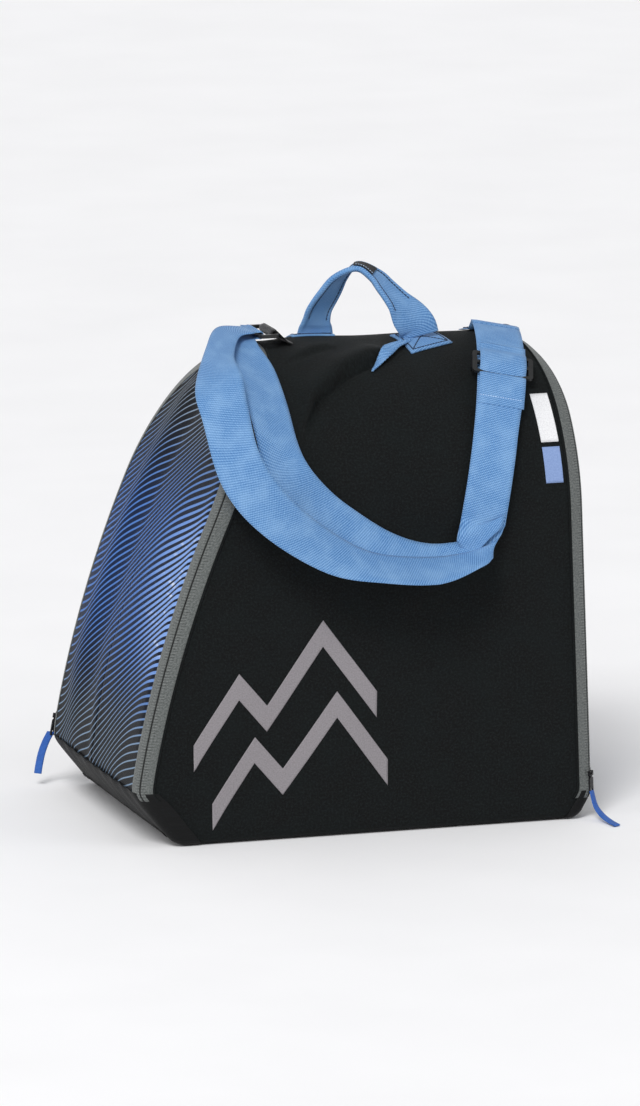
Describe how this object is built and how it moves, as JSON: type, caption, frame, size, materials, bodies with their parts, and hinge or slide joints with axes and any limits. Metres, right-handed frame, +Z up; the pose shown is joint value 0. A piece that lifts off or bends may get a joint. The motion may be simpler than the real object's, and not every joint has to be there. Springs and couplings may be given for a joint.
{
  "type": "ski boot bag",
  "caption": "Soft carrying bag for a pair of ski boots, with a sloping toe end, zipped end flaps, a grab handle on the crest and a webbing shoulder strap.",
  "frame": {"origin": "on the floor, under the middle of the bag's depth, 163 mm in from the toe end of the flat base", "axes": "+Z up, -Y the front face, -X the sloping toe end, +X the heel end"},
  "size_m": [0.4137, 0.3018, 0.4544],
  "materials": {
    "shell_fabric": "matt melange polyester",
    "striped_fabric": "printed polyester with fine wave lines",
    "base_fabric": "coated polyester",
    "lining": "plain woven lining over foam",
    "board": "matt",
    "binding": "woven tape",
    "zip_tape": "ribbed woven tape",
    "zip_coil": "nylon coil",
    "zip_metal": "black lacquer",
    "pull_ribbon": "satin ribbon",
    "webbing": "woven polyester webbing",
    "buckle": "moulded, matt",
    "label": "woven label"
  },
  "bodies": {
    "bag": {"back_panel": "shell_fabric", "base_board": "board", "base_panel": "base_fabric", "crest_seam_tape": "binding", "divider": "lining", "front_panel": "shell_fabric", "handle_far_patch": "webbing", "handle_near_patch": "webbing", "left_seam_binding": "binding", "left_side_skirt": "striped_fabric", "left_zip_coil_ends": "zip_coil", "left_zip_coil_outer": "zip_coil", "left_zip_stops": "zip_metal", "left_zip_tape_ends": "zip_tape", "left_zip_tape_outer": "zip_tape", "right_seam_binding": "binding", "right_side_skirt": "striped_fabric", "right_zip_coil_ends": "zip_coil", "right_zip_coil_outer": "zip_coil", "right_zip_stops": "zip_metal", "right_zip_tape_ends": "zip_tape", "right_zip_tape_outer": "zip_tape", "ring_keeper": "webbing", "strap_anchor_patch": "webbing", "webbing_tail": "webbing"},
    "left_flap": {"left_side_panel": "striped_fabric", "left_zip_tape_inner": "zip_tape", "left_zip_coil_inner": "zip_coil", "left_flap_binding": "binding"},
    "right_flap": {"right_side_panel": "striped_fabric", "right_zip_tape_inner": "zip_tape", "right_zip_coil_inner": "zip_coil", "right_flap_binding": "binding"},
    "left_slider_body": {"left_slider": "zip_metal", "left_slider_foot": "zip_metal"},
    "left_pull": {"left_pull_tab": "zip_metal", "left_pull_ribbon": "pull_ribbon"},
    "right_slider_body": {"right_slider": "zip_metal", "right_slider_foot": "zip_metal"},
    "right_pull": {"right_pull_tab": "zip_metal", "right_pull_ribbon": "pull_ribbon"},
    "strap": {"strap_through_layer": "webbing", "strap_sewn_layer": "webbing", "strap_outer_band": "webbing", "strap_inner_band": "webbing", "strap_fold": "webbing"},
    "strap_buckle": {"tri_glide": "buckle", "strap_sewn_loop": "webbing"},
    "ring": {"strap_ring": "buckle", "strap_ring_loop": "webbing"},
    "handle": {"handle_webbing": "webbing", "handle_label": "label"}
  },
  "joints": [
    {"name": "left_flap_fold", "type": "hinge", "parent": "bag", "child": "left_flap", "pos_m": [-0.19356, 0, 0.078], "axis": [0, -1, 0], "range_deg": [0, 110]},
    {"name": "right_flap_fold", "type": "hinge", "parent": "bag", "child": "right_flap", "pos_m": [0.19487, 0, 0.052], "axis": [0, 1, 0], "range_deg": [0, 97]},
    {"name": "left_slider_travel", "type": "hinge", "parent": "bag", "child": "left_slider_body", "pos_m": [0.78559, 0, -0.12514], "axis": [0, 1, 0], "range_deg": [0, 11.4]},
    {"name": "right_slider_travel", "type": "slide", "parent": "bag", "child": "right_slider_body", "axis": [-0.0377, 0, 0.9993], "range_m": [0, 0.212]},
    {"name": "left_pull_swing", "type": "hinge", "parent": "left_slider_body", "child": "left_pull", "pos_m": [-0.19473, 0.12468, 0.06014], "axis": [0.6951, 0.7071, -0.1299], "range_deg": [0, 150]},
    {"name": "right_pull_swing", "type": "hinge", "parent": "right_slider_body", "child": "right_pull", "pos_m": [0.19309, -0.12468, 0.03764], "axis": [-0.7066, -0.7071, -0.0267], "range_deg": [0, 150]},
    {"name": "strap_swing", "type": "hinge", "parent": "bag", "child": "strap", "pos_m": [0.05, 0, 0.4], "axis": [-1, 0, 0], "range_deg": [0, 165]},
    {"name": "buckle_travel", "type": "hinge", "parent": "strap", "child": "strap_buckle", "pos_m": [0.124, 0.00645, 0.25655], "axis": [0.9659, -0.183, -0.183], "range_deg": [0, 32]},
    {"name": "ring_swivel", "type": "hinge", "parent": "bag", "child": "ring", "pos_m": [-0.046, 0, 0.4], "axis": [0, 1, 0], "range_deg": [0, 25]},
    {"name": "handle_fold", "type": "hinge", "parent": "bag", "child": "handle", "pos_m": [0.038, 0.0025, 0.396], "axis": [-0.9231, 0.3846, 0], "range_deg": [-60, 60]}
  ]
}
